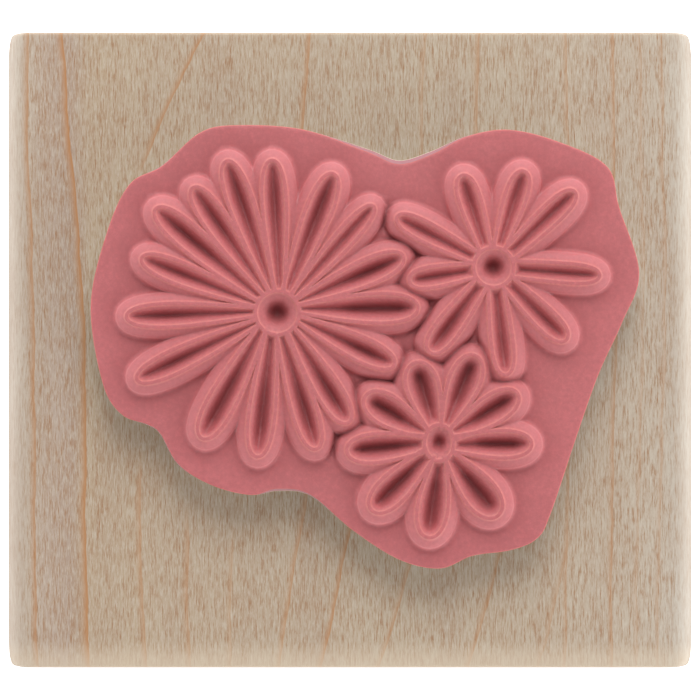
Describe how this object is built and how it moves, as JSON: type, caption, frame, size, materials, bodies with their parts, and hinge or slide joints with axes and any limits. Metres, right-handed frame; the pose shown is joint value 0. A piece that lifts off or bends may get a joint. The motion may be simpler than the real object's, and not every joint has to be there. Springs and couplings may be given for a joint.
{
  "type": "wood mounted rubber stamp",
  "caption": "Wood block stamp with finger grooves, a foam cushion and a hand-cut rubber die carrying flower heads in raised outline.",
  "frame": {"origin": "centre of the block's flat back face, which the stamp rests on", "axes": "+X across the grain towards one grooved side, +Y along the grain and the finger grooves, +Z out of the printing face"},
  "size_m": [0.0762, 0.0706, 0.025],
  "materials": {
    "maple": "sanded, unfinished",
    "ink": "matt, soaked into the wood",
    "adhesive": "satin",
    "foam": "matt, fine closed cells",
    "red_rubber": "matt, fine moulded grain"
  },
  "bodies": {
    "root": {"wood_block": "maple", "index_print": "ink", "block_adhesive": "adhesive", "foam_cushion": "foam", "die_adhesive": "adhesive", "rubber_die": "red_rubber"}
  },
  "joints": []
}
